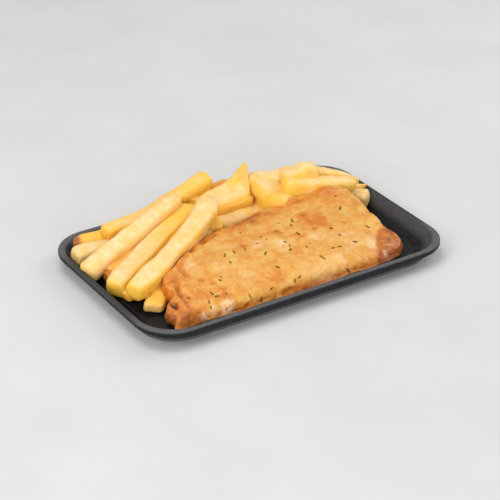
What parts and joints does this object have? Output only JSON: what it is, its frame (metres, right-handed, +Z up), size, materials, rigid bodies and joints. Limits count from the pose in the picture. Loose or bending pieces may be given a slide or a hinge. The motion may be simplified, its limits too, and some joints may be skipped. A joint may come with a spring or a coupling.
{
  "type": "fish and chips",
  "caption": "Battered fish fillet with thick-cut chips heaped behind and beside it, served in a shallow black foam tray with a flared wall.",
  "frame": {"origin": "on the surface the tray stands on, under the middle of its rim", "axes": "+Z up, +X along the tray's long side, -Y towards the side where the fish lies"},
  "size_m": [0.225, 0.146, 0.0402],
  "materials": {
    "foam": "black expanded foam with a smooth, slightly glossy skin",
    "batter": "golden fried batter, browned at the edges, with flecks of green herb",
    "potato": "fried potato, pale cream to golden yellow, deeper at the edges"
  },
  "bodies": {
    "root": {"tray": "foam", "fish": "batter", "chips": "potato"}
  },
  "joints": []
}
